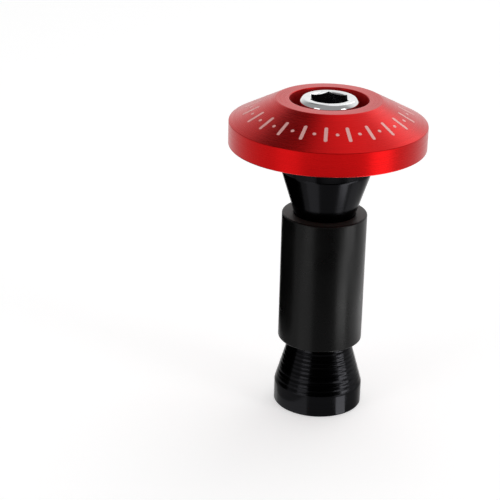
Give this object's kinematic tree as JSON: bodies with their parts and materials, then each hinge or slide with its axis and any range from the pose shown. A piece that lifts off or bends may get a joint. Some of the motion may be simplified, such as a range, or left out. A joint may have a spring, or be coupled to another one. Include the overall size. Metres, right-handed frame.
{
  "type": "handlebar end cap",
  "caption": "Expanding bar-end plug: a flat conical cap whose clamp screw draws a tapered nut up to spread a rubber sleeve inside a handlebar tube.",
  "frame": {"origin": "on the axis, in the plane of the cap's seat that meets the end of the handlebar tube", "axes": "+Z along the axis out of the bar, towards the screw's head; the plug goes into the bar along -Z"},
  "size_m": [0.0332, 0.0332, 0.0554],
  "materials": {
    "red_anodised_aluminium": "turned and red anodised, satin gloss",
    "bright_plated_steel": "bright plated",
    "black_anodised_aluminium": "turned and black anodised, glossy, with fine feed marks",
    "black_rubber": "matt moulded rubber"
  },
  "bodies": {
    "cap": {"end_cap": "red_anodised_aluminium", "upper_wedge_cone": "black_anodised_aluminium"},
    "screw": {"clamp_screw": "bright_plated_steel"},
    "nut": {"lower_wedge_nut": "black_anodised_aluminium"},
    "sleeve": {"rubber_sleeve": "black_rubber"}
  },
  "joints": [
    {"name": "screw_turn", "type": "hinge", "parent": "cap", "child": "screw", "pos_m": [0, 0, 0], "axis": [0, 0, -1], "range_deg": [0, 2160]},
    {"name": "nut_draw", "type": "slide", "parent": "cap", "child": "nut", "axis": [0, 0, 1], "range_m": [0, 0.006], "deforming": ["rubber_sleeve"]},
    {"name": "sleeve_shift", "type": "slide", "parent": "cap", "child": "sleeve", "axis": [0, 0, 1], "range_m": [0, 0.003]}
  ],
  "couplings": [
    {"joint": "nut_draw", "follows": "screw_turn", "m_per_rad": 0.00015915},
    {"joint": "sleeve_shift", "follows": "screw_turn", "m_per_rad": 0.000079577}
  ]
}
